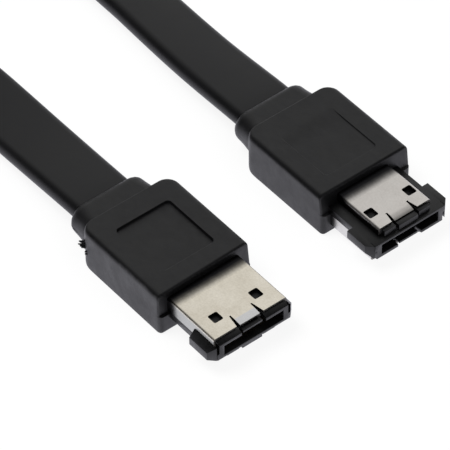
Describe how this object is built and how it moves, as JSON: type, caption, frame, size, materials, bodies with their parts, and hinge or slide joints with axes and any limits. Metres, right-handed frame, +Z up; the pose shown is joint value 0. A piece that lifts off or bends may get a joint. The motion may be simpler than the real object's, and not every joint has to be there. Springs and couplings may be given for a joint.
{
  "type": "esata cable",
  "caption": "Flat black external data cable wound into a strapped coil, with a moulded shielded plug at each end.",
  "frame": {"origin": "on the ground, in the middle of the box of the two plugs, cable left out", "axes": "+X the way both plugs point, +Y from plug a towards plug b, +Z up"},
  "size_m": [0.1848, 0.087, 0.0128],
  "materials": {
    "overmould": "fine moulded texture",
    "inner_mould": "plain moulded",
    "insulator": "smooth moulded",
    "shell": "satin nickel plated",
    "contact": "gold plated",
    "wire": "tinned",
    "cable": "smooth extruded jacket",
    "tie": "hook and loop strap"
  },
  "bodies": {
    "root": {"cable_coil": "cable", "cable_run_a": "cable", "cable_run_b": "cable", "cable_tie": "tie", "contact_1_a": "contact", "contact_1_b": "contact", "contact_2_a": "contact", "contact_2_b": "contact", "contact_3_a": "contact", "contact_3_b": "contact", "contact_4_a": "contact", "contact_4_b": "contact", "contact_5_a": "contact", "contact_5_b": "contact", "contact_6_a": "contact", "contact_6_b": "contact", "contact_7_a": "contact", "contact_7_b": "contact", "inner_mould_a": "inner_mould", "inner_mould_b": "inner_mould", "insulator_a": "insulator", "insulator_b": "insulator", "overmould_a": "overmould", "overmould_b": "overmould", "shell_narrow_a": "shell", "shell_narrow_b": "shell", "shell_wide_a": "shell", "shell_wide_b": "shell", "wire_1_a": "wire", "wire_1_b": "wire", "wire_2_a": "wire", "wire_2_b": "wire", "wire_3_a": "wire", "wire_3_b": "wire", "wire_4_a": "wire", "wire_4_b": "wire", "wire_5_a": "wire", "wire_5_b": "wire", "wire_6_a": "wire", "wire_6_b": "wire", "wire_7_a": "wire", "wire_7_b": "wire"}
  },
  "joints": []
}
